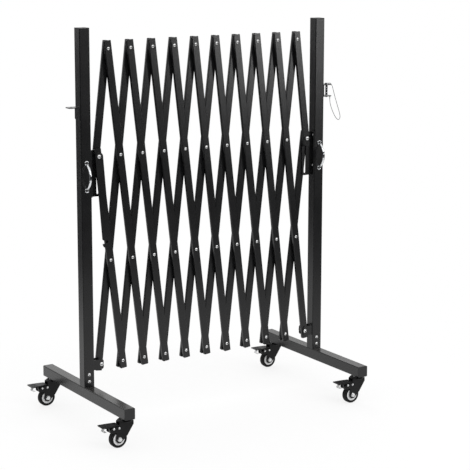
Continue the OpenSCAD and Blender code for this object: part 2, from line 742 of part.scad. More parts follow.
fork(xl, -caster_y);  // fork_left_near
wheel(xl, -caster_y);  // wheel_left_near
pedal(xl, -caster_y);  // pedal_left_near
fork(xr, caster_y);  // fork_right_far
wheel(xr, caster_y);  // wheel_right_far
pedal(xr, caster_y);  // pedal_right_far
fork(xr, -caster_y);  // fork_right_near
wheel(xr, -caster_y);  // wheel_right_near
pedal(xr, -caster_y);  // pedal_right_near
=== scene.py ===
"""Expandable barrier gate: finishes, small forms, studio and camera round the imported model.

Metres, +Z up, X along the gate, -Y the side with the handles.
"""

import math

import bpy
import numpy as np
from mathutils import Matrix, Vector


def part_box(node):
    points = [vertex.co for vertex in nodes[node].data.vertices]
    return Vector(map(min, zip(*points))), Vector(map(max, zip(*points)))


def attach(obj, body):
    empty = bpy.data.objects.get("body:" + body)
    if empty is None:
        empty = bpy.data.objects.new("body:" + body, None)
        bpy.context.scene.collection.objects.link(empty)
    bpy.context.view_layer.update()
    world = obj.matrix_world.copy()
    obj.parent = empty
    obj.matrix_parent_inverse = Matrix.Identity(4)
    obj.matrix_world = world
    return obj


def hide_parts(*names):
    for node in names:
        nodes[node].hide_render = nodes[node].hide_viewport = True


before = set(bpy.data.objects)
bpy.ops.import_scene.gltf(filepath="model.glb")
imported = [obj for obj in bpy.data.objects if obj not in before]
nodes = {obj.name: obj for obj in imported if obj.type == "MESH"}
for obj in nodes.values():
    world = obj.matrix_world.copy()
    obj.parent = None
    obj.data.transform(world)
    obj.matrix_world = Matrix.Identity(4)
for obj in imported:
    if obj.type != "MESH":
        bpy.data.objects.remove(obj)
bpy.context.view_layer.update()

MM = 0.001
post_lo, post_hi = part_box("post_left")
right_lo, right_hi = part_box("post_right")
left_x = (post_lo[0] + post_hi[0]) / 2

# Camera: a long lens at eye height, with a part of the photograph's shift so that other views keep the top
LENS = 123.37
SHIFT = (0.03803, -0.06)
YAW, PITCH = math.radians(31.609), math.radians(10.402)
EYE = (left_x - 2.5150, -4.9747, 1.8138)


def turned(obj, x_axis, y_axis, z_axis, place):
    """Sets an object's axes and place as the columns of its matrix."""
    columns = (x_axis, y_axis, z_axis, place)
    obj.matrix_world = Matrix([[column[i] for column in columns] for i in range(3)] + [[0, 0, 0, 1]])


def place_camera():
    """Look direction is (sin yaw cos pitch, cos yaw cos pitch, -sin pitch), from a point at the left."""
    data = bpy.data.cameras.new("camera")
    data.sensor_width = 36
    data.lens = LENS
    data.shift_x, data.shift_y = SHIFT
    data.clip_end = 60
    cam = bpy.data.objects.new("camera", data)
    bpy.context.scene.collection.objects.link(cam)
    look = np.array([math.sin(YAW) * math.cos(PITCH), math.cos(YAW) * math.cos(PITCH), -math.sin(PITCH)])
    right = np.cross(look, [0, 0, 1])
    right /= np.linalg.norm(right)
    up = np.cross(right, look)
    turned(cam, right, up, -look, EYE)
    bpy.context.scene.camera = cam


place_camera()


# Surfaces
def linear(hex_colour):
    """sRGB hex to linear: the gamma segment above 0.04045, the straight one below it."""
    v = np.array([int(hex_colour[i:i + 2], 16) for i in (1, 3, 5)]) / 255
    v = np.where(v <= 0.04045, v / 12.92, ((v + 0.055) / 1.055) ** 2.4)
    return (*v.tolist(), 1.0)


def skin(rings, loop=False):
    """Points and faces of a closed skin over rings (rows along the path, columns round it).

    Quads join neighbouring rings, a fan to each end ring's middle closes it, or in a loop the last ring
    joins the first, and all faces turn round if the volume, a sixth of the sum of a . (b x c) over the
    triangles, comes out negative.
    """
    rows, cols = rings.shape[:2]
    index = np.arange(rows * cols).reshape(rows, cols)
    after = np.roll(index, -1, axis=1)
    if loop:
        ahead, ahead_after = np.roll(index, -1, axis=0), np.roll(after, -1, axis=0)
        quads = np.stack([index, after, ahead_after, ahead], -1).reshape(-1, 4)
        points, fans = rings.reshape(-1, 3), np.zeros((0, 3), int)
    else:
        quads = np.stack([index[:-1], after[:-1], after[1:], index[1:]], -1).reshape(-1, 4)
        points = np.concatenate([rings.reshape(-1, 3), rings[:1].mean(1), rings[-1:].mean(1)])
        first, last = np.full(cols, rows * cols), np.full(cols, rows * cols + 1)
        fans = np.concatenate([np.stack([first, after[0], index[0]], -1),
                               np.stack([last, index[-1], after[-1]], -1)])
    tri = np.concatenate([quads[:, [0, 1, 2]], quads[:, [0, 2, 3]], fans])
    a, b, c = (points[tri[:, k]] - points.mean(0) for k in range(3))
    if (a * np.cross(b, c)).sum() < 0:
        quads, fans = quads[:, ::-1], fans[:, ::-1]
    return points, quads.tolist() + fans.tolist()


def joined(name, skins):
    """One mesh of several skins, their point numbers moved on by the points before them."""
    points, faces, count = [], [], 0
    for one, its_faces in skins:
        points.append(one)
        faces += [[k + count for k in face] for face in its_faces]
        count += len(one)
    mesh = bpy.data.meshes.new(name)
    mesh.from_pydata(np.concatenate(points).tolist(), [], faces)
    return mesh


def piece(name, skins, body, material):
    """An object at the origin, of several skins, that rides on a body and wears one material."""
    mesh = joined(name, skins)
    obj = bpy.data.objects.new(name, mesh)
    bpy.context.scene.collection.objects.link(obj)
    mesh.materials.append(material)
    mesh.polygons.foreach_set("use_smooth", np.ones(len(mesh.polygons), bool))
    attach(obj, body)
    return obj


def smooth_curve(points, steps):
    """Catmull-Rom curve through the points, steps samples between two of them."""
    p = np.array(points, float)
    p = np.vstack([p[:1], p, p[-1:]])
    t = np.linspace(0, 1, steps, endpoint=False)[:, None]
    parts = []
    for a, b, c, d in zip(p, p[1:], p[2:], p[3:]):
        parts.append(0.5 * (2 * b + (c - a) * t + (2 * a - 5 * b + 4 * c - d) * t ** 2
                            + (3 * b - a - 3 * c + d) * t ** 3))
    return np.vstack(parts + [p[-2:-1]])


def frames_along(path):
    """Two unit normals of the path: one square to Y and its tangent, one square to both."""
    tangent = np.gradient(path, axis=0)
    tangent /= np.linalg.norm(tangent, axis=1)[:, None]
    side = np.cross(tangent, [0.0, 1.0, 0.0])
    side /= np.linalg.norm(side, axis=1)[:, None]
    return side, np.cross(tangent, side)


# Materials
def cells(size):
    """Noise scale at which a cell of the pattern is size millimetres wide."""
    return 1 / (size * MM)


def add(tree, kind, where, values=None, links=None, stops=(), **settings):
    """One node with its settings, socket values and incoming links, and a ramp's (position, hex) stops."""
    node = tree.nodes.new(kind)
    node.location = where
    for key, value in settings.items():
        setattr(node, key, value)
    for key, value in (values or {}).items():
        node.inputs[key].default_value = value
    for key, socket in (links or {}).items():
        tree.links.new(socket, node.inputs[key])
    for i, (at, colour) in enumerate(stops):
        if i >= len(node.color_ramp.elements):
            node.color_ramp.elements.new(at)
        node.color_ramp.elements[i].position = at
        node.color_ramp.elements[i].color = linear(colour)
    return node


def new_material(name, colour, **sockets):
    """A Principled material with the plain values of its finish."""
    mat = bpy.data.materials.new(name)
    mat.use_nodes = True
    shader = mat.node_tree.nodes["Principled BSDF"]
    shader.inputs["Base Color"].default_value = linear(colour)
    for key, value in sockets.items():
        shader.inputs[key.replace("_", " ")].default_value = value
    mat.diffuse_color = linear(colour)
    return mat, mat.node_tree, shader


def powder_coat():
    """Polyester powder coat on steel: orange peel of 1.5 mm waves, thin rubbed edges lightened as wear and
    painted highlight, and dust with a painted sheen lightening the top faces.
    """
    mat, tree, shader = new_material("black_powder_coat", "#101011", Roughness=0.26, IOR=1.5,
                                     Specular_IOR_Level=0.42)
    place = add(tree, "ShaderNodeTexCoord", (-1500, 0))
    cloud = add(tree, "ShaderNodeTexNoise", (-1200, 300),
                {"Scale": cells(110), "Detail": 4.0, "Roughness": 0.6},
                {"Vector": place.outputs["Object"]})
    tone = add(tree, "ShaderNodeValToRGB", (-900, 300), links={"Fac": cloud.outputs["Fac"]},
               stops=[(0.3, "#0d0d0e"), (0.7, "#131314")])
    # Rubbed edges and painted highlight: lighter where a rounded normal leaves the true one, broken up by
    # noise
    surface = add(tree, "ShaderNodeNewGeometry", (-1500, -300))
    rounded = add(tree, "ShaderNodeBevel", (-1300, -200), {"Radius": 0.9 * MM}, samples=4)
    along = add(tree, "ShaderNodeVectorMath", (-1100, -200), links={0: rounded.outputs["Normal"],
                                                                   1: surface.outputs["Normal"]},
                operation="DOT_PRODUCT")
    edge = add(tree, "ShaderNodeMapRange", (-900, -200), {"From Min": 0.98, "From Max": 0.8},
               {"Value": along.outputs["Value"]})
    edge_noise = add(tree, "ShaderNodeTexNoise", (-1200, 50),
                {"Scale": cells(17), "Detail": 5.0, "Roughness": 0.7},
                {"Vector": place.outputs["Object"]})
    edge_patches = add(tree, "ShaderNodeMapRange", (-900, 50), {"From Min": 0.4, "From Max": 0.75, "To Max": 0.8},
               {"Value": edge_noise.outputs["Fac"]})
    edge_wear_and_highlight = add(tree, "ShaderNodeMath", (-700, -50), links={0: edge.outputs["Result"],
                                                          1: edge_patches.outputs["Result"]}, operation="MULTIPLY")
    coated = add(tree, "ShaderNodeMix", (-500, 250), {7: linear("#3c3c3d")},
                 {0: edge_wear_and_highlight.outputs[0], 6: tone.outputs["Color"]}, data_type="RGBA")
    # Dust and painted sheen: a lighter tone on faces that look up, in specks of a few millimetres
    facing = add(tree, "ShaderNodeSeparateXYZ", (-1300, -450), links={0: surface.outputs["Normal"]})
    upward = add(tree, "ShaderNodeMapRange", (-1100, -450), {"From Min": 0.5, "To Max": 0.38},
                 {"Value": facing.outputs["Z"]})
    specks = add(tree, "ShaderNodeTexNoise", (-1300, -650),
                 {"Scale": cells(5.5), "Detail": 6.0, "Roughness": 0.75},
                 {"Vector": place.outputs["Object"]})
    dust_and_sheen_mask = add(tree, "ShaderNodeMath", (-900, -500), links={0: upward.outputs["Result"],
                                                              1: specks.outputs["Fac"]}, operation="MULTIPLY")
    dust_and_sheen = add(tree, "ShaderNodeMix", (-300, 200), {7: linear("#5b5956")},
                {0: dust_and_sheen_mask.outputs[0], 6: coated.outputs[2]}, data_type="RGBA")
    tree.links.new(dust_and_sheen.outputs[2], shader.inputs["Base Color"])
    rough = add(tree, "ShaderNodeMapRange", (-600, 0), {"From Min": 0.3, "From Max": 0.7,
                                                        "To Min": 0.25, "To Max": 0.28},
                {"Value": cloud.outputs["Fac"]})
    tree.links.new(rough.outputs["Result"], shader.inputs["Roughness"])
    peel = add(tree, "ShaderNodeTexNoise", (-900, -750), {"Scale": cells(1.5), "Detail": 2.0},
               {"Vector": place.outputs["Object"]})
    bump = add(tree, "ShaderNodeBump", (-300, -300), {"Strength": 0.3, "Distance": 0.08 * MM},
               {"Height": peel.outputs["Fac"]})
    tree.links.new(bump.outputs["Normal"], shader.inputs["Normal"])
    return mat


def zinc_plate():
    """Bright zinc on pressed steel: light grey metal, clouded in patches of 4 mm."""
    mat, tree, shader = new_material("bright_zinc_plate", "#d2d3d4", Metallic=0.85, Roughness=0.28)
    place = add(tree, "ShaderNodeTexCoord", (-1200, 0))
    cloud = add(tree, "ShaderNodeTexNoise", (-900, 0), {"Scale": cells(4), "Detail": 3.0},
                {"Vector": place.outputs["Object"]})
    tone = add(tree, "ShaderNodeValToRGB", (-600, 100), links={"Fac": cloud.outputs["Fac"]},
               stops=[(0.3, "#c6c8c9"), (0.7, "#e6e6e5")])
    tree.links.new(tone.outputs["Color"], shader.inputs["Base Color"])
    rough = add(tree, "ShaderNodeMapRange", (-600, -150), {"To Min": 0.2, "To Max": 0.38},
                {"Value": cloud.outputs["Fac"]})
    tree.links.new(rough.outputs["Result"], shader.inputs["Roughness"])
    return mat


def dimple_painted_shade():
    """Painted shade in the pressed dimples of the heads, on zinc with oil and dust held there: dark and dull.
    """
    mat, tree, shader = new_material("zinc_dimple_painted_shade", "#3d3c3a", Metallic=0.6, Roughness=0.55)
    place = add(tree, "ShaderNodeTexCoord", (-900, 0))
    mottle = add(tree, "ShaderNodeTexNoise", (-700, 0), {"Scale": cells(0.7), "Detail": 3.0},
               {"Vector": place.outputs["Object"]})
    tone = add(tree, "ShaderNodeValToRGB", (-400, 0), links={"Fac": mottle.outputs["Fac"]},
               stops=[(0.35, "#2b2a29"), (0.65, "#504f4c")])
    tree.links.new(tone.outputs["Color"], shader.inputs["Base Color"])
    return mat


def dark_screw():
    """Black oxide on a steel screw: near black, oiled, a faint brown in the wear."""
    mat, tree, shader = new_material("black_oxide_steel", "#2c2b2b", Metallic=0.8, Roughness=0.4)
    place = add(tree, "ShaderNodeTexCoord", (-900, 0))
    wear = add(tree, "ShaderNodeTexNoise", (-700, 0), {"Scale": cells(1.1), "Detail": 3.0},
               {"Vector": place.outputs["Object"]})
    tone = add(tree, "ShaderNodeValToRGB", (-400, 0), links={"Fac": wear.outputs["Fac"]},
               stops=[(0.4, "#232323"), (0.7, "#4b4642")])
    tree.links.new(tone.outputs["Color"], shader.inputs["Base Color"])
    return mat


def caster_lacquer():
    """Dipped black lacquer on the pressed steel of forks and pedals: darker and less glossy than the coat."""
    mat, tree, shader = new_material("black_dip_lacquer", "#0b0b0c", Roughness=0.36, IOR=1.5,
                                     Specular_IOR_Level=0.2)
    place = add(tree, "ShaderNodeTexCoord", (-1200, 0))
    scuff = add(tree, "ShaderNodeTexNoise", (-900, 0), {"Scale": cells(7), "Detail": 5.0, "Roughness": 0.7},
                {"Vector": place.outputs["Object"]})
    tone = add(tree, "ShaderNodeValToRGB", (-600, 100), links={"Fac": scuff.outputs["Fac"]},
               stops=[(0.4, "#0a0a0b"), (0.66, "#121213"), (0.8, "#262626")])
    tree.links.new(tone.outputs["Color"], shader.inputs["Base Color"])
    rough = add(tree, "ShaderNodeMapRange", (-600, -150), {"To Min": 0.28, "To Max": 0.46},
                {"Value": scuff.outputs["Fac"]})
    tree.links.new(rough.outputs["Result"], shader.inputs["Roughness"])
    return mat


def chrome_plate(name, wave):
    """Polished chrome: near mirror, faint wiping marks along Z, low waves of 8 mm from the metal under it."""
    mat, tree, shader = new_material(name, "#dfe1e3", Metallic=1.0, Roughness=0.1)
    place = add(tree, "ShaderNodeTexCoord", (-1200, 0))
    wipe = add(tree, "ShaderNodeMapping", (-1000, 0), {"Scale": (cells(1.1), cells(1.1), cells(17))},
               {"Vector": place.outputs["Object"]})
    marks = add(tree, "ShaderNodeTexNoise", (-800, 0), {"Scale": 1.0, "Detail": 3.0},
                {"Vector": wipe.outputs["Vector"]})
    rough = add(tree, "ShaderNodeMapRange", (-500, 0), {"To Min": 0.05, "To Max": 0.14},
                {"Value": marks.outputs["Fac"]})
    tree.links.new(rough.outputs["Result"], shader.inputs["Roughness"])
    waves = add(tree, "ShaderNodeTexNoise", (-800, -300), {"Scale": cells(8), "Detail": 1.0},
                {"Vector": place.outputs["Object"]})
    bump = add(tree, "ShaderNodeBump", (-300, -300), {"Strength": 1.0, "Distance": wave},
               {"Height": waves.outputs["Fac"]})
    tree.links.new(bump.outputs["Normal"], shader.inputs["Normal"])
    return mat


def moulded_plastic():
    """Moulded polyethylene of the caps: soft satin, its spark-eroded grain drawn 0.5 mm wide to show."""
    mat, tree, shader = new_material("moulded_cap_plastic", "#252526", Roughness=0.5, IOR=1.51,
                                     Specular_IOR_Level=0.3)
    place = add(tree, "ShaderNodeTexCoord", (-1000, 0))
    grain = add(tree, "ShaderNodeTexNoise", (-700, 0), {"Scale": cells(0.5), "Detail": 1.0},
                {"Vector": place.outputs["Object"]})
    bump = add(tree, "ShaderNodeBump", (-300, 0), {"Strength": 0.3, "Distance": 0.05 * MM},
               {"Height": grain.outputs["Fac"]})
    tree.links.new(bump.outputs["Normal"], shader.inputs["Normal"])
    return mat


def tyre_rubber():
    """Moulded nitrile tyre: dull black with scuffs and dust on the tread."""
    mat, tree, shader = new_material("moulded_tyre_rubber", "#121213", Roughness=0.6, IOR=1.52,
                                     Specular_IOR_Level=0.15)
    place = add(tree, "ShaderNodeTexCoord", (-1200, 0))
    scuff = add(tree, "ShaderNodeTexNoise", (-900, 0), {"Scale": cells(3), "Detail": 5.0, "Roughness": 0.7},
                {"Vector": place.outputs["Object"]})
    tone = add(tree, "ShaderNodeValToRGB", (-600, 0), links={"Fac": scuff.outputs["Fac"]},
               stops=[(0.35, "#0f0f10"), (0.62, "#181818"), (0.78, "#2e2d2c")])
    tree.links.new(tone.outputs["Color"], shader.inputs["Base Color"])
    return mat


def wheel_core_plastic():
    """Moulded polypropylene wheel core: light grey, slightly waxy."""
    mat, tree, shader = new_material("grey_core_plastic", "#cfd0d1", Roughness=0.42, IOR=1.49)
    place = add(tree, "ShaderNodeTexCoord", (-1200, 0))
    dust = add(tree, "ShaderNodeTexNoise", (-900, 0), {"Scale": cells(8), "Detail": 4.0},
               {"Vector": place.outputs["Object"]})
    tone = add(tree, "ShaderNodeValToRGB", (-600, 0), links={"Fac": dust.outputs["Fac"]},
               stops=[(0.35, "#c0c1c2"), (0.65, "#dadada")])
    tree.links.new(tone.outputs["Color"], shader.inputs["Base Color"])
    return mat


def strand_wire():
    """Galvanised steel strand: grey metal, dull between the wires."""
    mat, tree, shader = new_material("galvanised_strand", "#55575a", Metallic=0.6, Roughness=0.45)
    place = add(tree, "ShaderNodeTexCoord", (-1000, 0))
    dull = add(tree, "ShaderNodeTexNoise", (-700, 0), {"Scale": cells(1.1), "Detail": 2.0},
               {"Vector": place.outputs["Object"]})
    tone = add(tree, "ShaderNodeValToRGB", (-400, 0), links={"Fac": dull.outputs["Fac"]},
               stops=[(0.35, "#45474a"), (0.65, "#66686a")])
    tree.links.new(tone.outputs["Color"], shader.inputs["Base Color"])
    return mat


PAINT = powder_coat()
ZINC = zinc_plate()
# DIMPLE is dark zinc for the hollows of the heads: painted shade, with some soil
DIMPLE = dimple_painted_shade()
OXIDE = dark_screw()
LACQUER = caster_lacquer()
CAST_CHROME = chrome_plate("chrome_plate_on_casting", 1.2 * MM)
PIN_CHROME = chrome_plate("chrome_plate_on_turned_steel", 0.05 * MM)
CAP = moulded_plastic()
TYRE = tyre_rubber()
CORE = wheel_core_plastic()
STRAND = strand_wire()


# Lanyard: the free cord comes first, on the route that the solid follows, in mm from the pin's middle
PIN_REACH = 26 * MM
PIN_HEIGHT = 1.146
PIN_AT = np.array([right_hi[0] + PIN_REACH, 0.0, PIN_HEIGHT])
WIRE_ROUTE = [[13.6, 0, 25.5], [17, 0, 25], [23, -0.4, 19], [29, -1, 5], [38, -1, -24], [50, -2, -60],
              [61, -2, -92], [63, -3, -108], [55, -4, -117], [42, -5, -108], [27, -7, -86], [15, -9, -62],
              [9, -11, -44], [8, -11, -34.1], [8, -11, -31.1]]
# Radius between the wires of the strand, how far a wire stands out, and the length of one turn
STRAND_RADIUS = 0.86 * MM
WIRE_PROUD = 0.14 * MM
STRAND_LAY = 9 * MM


def lanyard():
    """Seven-wire strand round the path: radius STRAND_RADIUS + WIRE_PROUD |cos 3a|, where a turns once in
    STRAND_LAY."""
    path = smooth_curve(WIRE_ROUTE, 14) * MM + PIN_AT
    side, up = frames_along(path)
    run = np.concatenate([[0], np.cumsum(np.linalg.norm(np.diff(path, axis=0), axis=1))])
    a = np.linspace(0, 2 * math.pi, 24, endpoint=False)[None, :]
    turn = run[:, None] / STRAND_LAY * 2 * math.pi
    radius = STRAND_RADIUS + WIRE_PROUD * np.abs(np.cos(3 * (a - turn)))
    ring = path[:, None] + radius[..., None] * (np.cos(a)[..., None] * side[:, None]
                                                + np.sin(a)[..., None] * up[:, None])
    obj = piece("lanyard_wire", [skin(ring)], "right_end", STRAND)
    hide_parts("lanyard")


lanyard()


# Small forms that the solids leave to this script, in metres
WELD_RADIUS = 2.2 * MM
WELD_RIPPLE = 2.4 * MM
# How far a bead's middle stands off the edge of its plate, and the length of the beads
WELD_OFF = 0.4 * MM
CLEVIS_BEAD = 32 * MM
LOWER_BEAD = 24 * MM
UPPER_BEAD = 30 * MM
# Bolt ends: diameter, the length that shows, pitch and depth of the thread, how far behind the post and the
# clevis an end starts, the heights of the foot's bolts over the post's lower end, and how far the clevis bolt
# stands off the post
BOLT_DIAMETER = 8.35 * MM
BOLT_TAIL = 2.1 * MM
THREAD_PITCH = 1.25 * MM
THREAD_DEPTH = 0.3 * MM
FOOT_NUT = 5.9 * MM
CLEVIS_NUT = 4.9 * MM
FOOT_BOLTS = (19.5 * MM, 45.5 * MM)
PIVOT_OUT = 32 * MM
# For each end: the post's box, the sign of X from it to the lattice, the coupling plate on its other side,
# and the body that carries the sliding bolt
ENDS = {"left": ((post_lo, post_hi), 1, "tongue", "bar_f_end"),
        "right": ((right_lo, right_hi), -1, "lug", "bar_b10")}
# Sleeves of the wire: where each starts, in mm from the pin's middle, its direction and its length in mm
UPPER_SLEEVE = ([7.6, 0, 25.5], (1, 0, 0), 5.9)
LOWER_SLEEVE = ([8, -11, -31], (0, 0, 1), 7.9)
# A direction that no bar runs in, from which the angle round a bar starts
SLANT = (0.3, 0.5, 0.8)


def round_bar(start, along, length, radius_of, sides=20, steps=40):
    """Rings of radius_of(s, a) along a straight line: s runs along it, a is the angle round it."""
    along = np.array(along, float)
    side = np.cross(along, SLANT)
    side /= np.linalg.norm(side)
    up = np.cross(along, side)
    s = np.linspace(0, length, steps)[:, None]
    a = np.linspace(0, 2 * math.pi, sides, endpoint=False)[None, :]
    radius = radius_of(s, a)[..., None]
    return np.array(start) + s[..., None] * along + radius * (np.cos(a)[..., None] * side
                                                               + np.sin(a)[..., None] * up)


def weld_bead(middle, length):
    """Bead along Y: radius r sqrt(distance to the nearer end / r), at most r, times 1 + 0.13 cos 2 pi w,
    where w = s / WELD_RIPPLE + 0.3 |cos a| and r is WELD_RADIUS."""
    def radius_of(s, a):
        near = np.clip(np.minimum(s, length - s) / WELD_RADIUS, 0.004, 1)
        wave = np.cos(2 * math.pi * (s / WELD_RIPPLE + 0.3 * np.abs(np.cos(a))))
        return WELD_RADIUS * np.sqrt(near) * (1 + 0.13 * wave)
    x, y, z = middle
    return round_bar((x, y - length / 2, z), (0, 1, 0), length, radius_of, steps=80)


def bolt_thread(x, y, z):
    """Thread of a bolt's end along Y: the radius falls from the crest by THREAD_DEPTH |2 frac(w) - 1|, where
    w = s / THREAD_PITCH - a / 2 pi, and the last 0.6 mm is rounded off by 0.5 mm."""
    def radius_of(s, a):
        saw = (s / THREAD_PITCH - a / (2 * math.pi)) % 1
        end = np.clip((BOLT_TAIL - s) / (0.6 * MM), 0, 1)
        return BOLT_DIAMETER / 2 - THREAD_DEPTH * np.abs(2 * saw - 1) - 0.5 * MM * (1 - end)
    return round_bar((x, y, z), (0, 1, 0), BOLT_TAIL, radius_of, sides=32, steps=24)


def swaged_sleeve(start, along, length):
    """Pressed sleeve of a wire end: radius 2.05 mm, less at its two rims, with two pressed waists that are
    0.22 sin^4 (2 pi s / length) (0.75 + 0.25 cos 4a) mm deep."""
    def radius_of(s, a):
        end = np.clip(np.minimum(s, length - s) / (0.4 * MM), 0, 1)
        waist = np.sin(2 * math.pi * s / length) ** 4 * (0.75 + 0.25 * np.cos(4 * a))
        return (1.65 + 0.4 * np.sqrt(end) - 0.22 * waist) * MM
    return round_bar(start, along, length, radius_of, sides=24, steps=32)


def welds(side):
    """Beads under and over the clevis and the coupling plate, where they meet the post."""
    (low, high), inward, plate, _ = ENDS[side]
    inner, outer = (high[0], low[0]) if inward > 0 else (low[0], high[0])
    plate_lo, plate_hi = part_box(plate)
    clevis_lo, clevis_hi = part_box("clevis_" + side)
    beads = [weld_bead((inner, 0, clevis_lo[2] - WELD_OFF), CLEVIS_BEAD),
             weld_bead((inner, 0, clevis_hi[2] + WELD_OFF), CLEVIS_BEAD),
             weld_bead((outer, 0, plate_lo[2] - WELD_OFF), LOWER_BEAD),
             weld_bead((outer, 0, plate_hi[2] + WELD_OFF), UPPER_BEAD)]
    piece("welds_" + side, [skin(b) for b in beads], side + "_end", PAINT)


def threads(side):
    """Thread ends of the two foot bolts and the clevis bolt, and of the sliding bolt on its own body."""
    (low, high), inward, _, slide_body = ENDS[side]
    ends = [bolt_thread((low[0] + high[0]) / 2, high[1] + FOOT_NUT, low[2] + z) for z in FOOT_BOLTS]
    clevis_lo, clevis_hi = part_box("clevis_" + side)
    pivot_x = (high[0] if inward > 0 else low[0]) + inward * PIVOT_OUT
    ends.append(bolt_thread(pivot_x, clevis_hi[1] + CLEVIS_NUT, (clevis_lo[2] + clevis_hi[2]) / 2))
    piece("threads_" + side, [skin(e) for e in ends], side + "_end", ZINC)
    slide_lo, slide_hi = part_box("slide_bolt_" + side)
    slide_x, slide_z = (slide_lo[0] + slide_hi[0]) / 2, (slide_lo[2] + slide_hi[2]) / 2
    end = bolt_thread(slide_x, slide_hi[1] - BOLT_TAIL, slide_z)
    piece("thread_slide_" + side, [skin(end)], slide_body, ZINC)


def sleeve(name, body, start, along, length):
    """One pressed sleeve of the wire, on its own body."""
    rings = swaged_sleeve(PIN_AT + np.array(start) * MM, along, length * MM)
    piece(name, [skin(rings)], body, ZINC)


for end_side in ENDS:
    welds(end_side)
    threads(end_side)
sleeve("sleeve_upper", "pin", *UPPER_SLEEVE)
sleeve("sleeve_lower", "right_end", *LOWER_SLEEVE)


# Lips of the caps: width along the tube, how far they stand out of it and reach into it, its corners' radius
LIP_WIDE = 1.2 * MM
LIP_PROUD = 0.12 * MM
LIP_SUNK = 0.5 * MM
TUBE_ROUND = 3 * MM


def cap_lip(middle, axis, half):
    """Band round a square tube of half width half, along axis: a rounded square whose half width at t along
    the band is half - LIP_SUNK + (LIP_PROUD + LIP_SUNK) sqrt(sin(pi t))."""
    corner = TUBE_ROUND + LIP_PROUD
    turn = np.repeat(np.arange(4) * math.pi / 2, 5)
    a = turn + np.tile(np.linspace(0, math.pi / 2, 5), 4)
    out = half + LIP_PROUD - corner
    # The signs of the quarter that each point is in
    flat_u = np.cos(a) * corner + np.sign(np.cos(turn + math.pi / 4)) * out
    flat_v = np.sin(a) * corner + np.sign(np.sin(turn + math.pi / 4)) * out
    t = np.array([0, 0.12, 0.5, 0.88, 1])[:, None]
    swell = np.sqrt(np.sin(math.pi * np.clip(t, 0.001, 0.999)))
    scale = (half - LIP_SUNK + (LIP_PROUD + LIP_SUNK) * swell) / (half + LIP_PROUD)
    rings = np.zeros((len(t), len(a), 3))
    u, v = [k for k in range(3) if k != axis]
    rings[..., u] = middle[u] + scale * flat_u
    rings[..., v] = middle[v] + scale * flat_v
    rings[..., axis] = middle[axis] + (t - 0.5) * LIP_WIDE
    return rings


def cap_gap_shade_bands(side):
    """Lips where the plastic caps meet the foot's two ends and the post's top, dark as painted shade of the
    gap at each cap's rim.
    """
    foot_lo, foot_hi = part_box("foot_" + side)
    low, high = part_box("post_" + side)
    half = (high[0] - low[0]) / 2
    x, z = (foot_lo[0] + foot_hi[0]) / 2, foot_lo[2] + half
    rings = [cap_lip((x, y, z), 1, half) for y in (foot_lo[1], foot_hi[1])]
    rings.append(cap_lip((x, 0, high[2]), 2, half))
    # The dark tyre rubber on the lips is painted shade, standing for the shadow in the gap round each cap
    piece("cap_gap_shade_bands_" + side, [skin(r) for r in rings], side + "_end", TYRE)


# Collars of the handle screws, in mm: radius of the middle line, half the width, half the depth, how far out
# the middle is, and how far a screw sits inside the handle's end
CUP_RADIUS = 6.9
CUP_HALF = 1.75
CUP_DEEP = 2.6
CUP_OUT = 2.65
SCREW_INSET = 7


def screw_cups(side):
    """Rolled chrome collars round the handle screws: an ellipse of half axes CUP_HALF and CUP_DEEP mm,
    carried round a circle of CUP_RADIUS mm, its middle CUP_OUT mm in front of the post."""
    handle_lo, handle_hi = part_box("handle_" + side)
    low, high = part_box("post_" + side)
    x, z = (low[0] + high[0]) / 2, (handle_lo[2] + handle_hi[2]) / 2
    gap = (handle_hi[2] - handle_lo[2]) / 2 - SCREW_INSET * MM
    a = np.linspace(0, 2 * math.pi, 40, endpoint=False)[:, None]
    b = np.linspace(0, 2 * math.pi, 20, endpoint=False)[None, :]
    radius = (CUP_RADIUS + CUP_HALF * np.cos(b)) * MM
    out = (CUP_OUT + CUP_DEEP * np.sin(b) + 0 * a) * MM
    rings = [np.stack([x + radius * np.cos(a), low[1] - out, z + up * gap + radius * np.sin(a)], -1)
             for up in (-1, 1)]
    piece("screw_cups_" + side, [skin(r, loop=True) for r in rings], side + "_end", CAST_CHROME)


for end_side in ENDS:
    cap_gap_shade_bands(end_side)
for end_side in ENDS:
    screw_cups(end_side)


# Finishes of the carried-over solids
def solids(obj):
    """A label per triangle: the lowest welded corner number is passed on till each solid holds one number."""
    mesh = obj.data
    co = np.empty(len(mesh.vertices) * 3)
    mesh.vertices.foreach_get("co", co)
    tri = np.empty(len(mesh.polygons) * 3, int)
    mesh.polygons.foreach_get("vertices", tri)
    co, tri = co.reshape(-1, 3), tri.reshape(-1, 3)
    _, weld = np.unique(np.round(co * 1e6).astype(int), axis=0, return_inverse=True)
    weld = weld.ravel()
    corner = weld[tri]
    label = np.arange(weld.max() + 1)
    while True:
        low = label[corner].min(1)
        new = label.copy()
        np.minimum.at(new, corner.ravel(), np.repeat(low, 3))
        new = new[new]
        if (new == label).all():
            break
        label = new
    return co[tri], label[corner[:, 0]]


def finish_by_solid(node, choose, materials):
    """Gives each solid of a node its own material: choose(low, high corner) returns the slot number."""
    obj = nodes[node]
    obj.data.materials.clear()
    for mat in materials:
        obj.data.materials.append(mat)
    corners, label = solids(obj)
    index = np.zeros(len(label), int)
    for one in np.unique(label):
        mine = label == one
        pts = corners[mine].reshape(-1, 3)
        index[mine] = choose(pts.min(0), pts.max(0))
    obj.data.polygons.foreach_set("material_index", index)
    obj.data.update()


def plain(lo, hi):
    """Slot 0 for every solid."""
    return 0


def small_is_second(limit):
    """Slot 1 for a solid whose longest side is under the limit in mm, slot 0 for the others."""
    return lambda lo, hi: int((hi - lo).max() < limit * MM)


# How far behind the post's front the handle's screws end at most
SCREW_END = 8 * MM


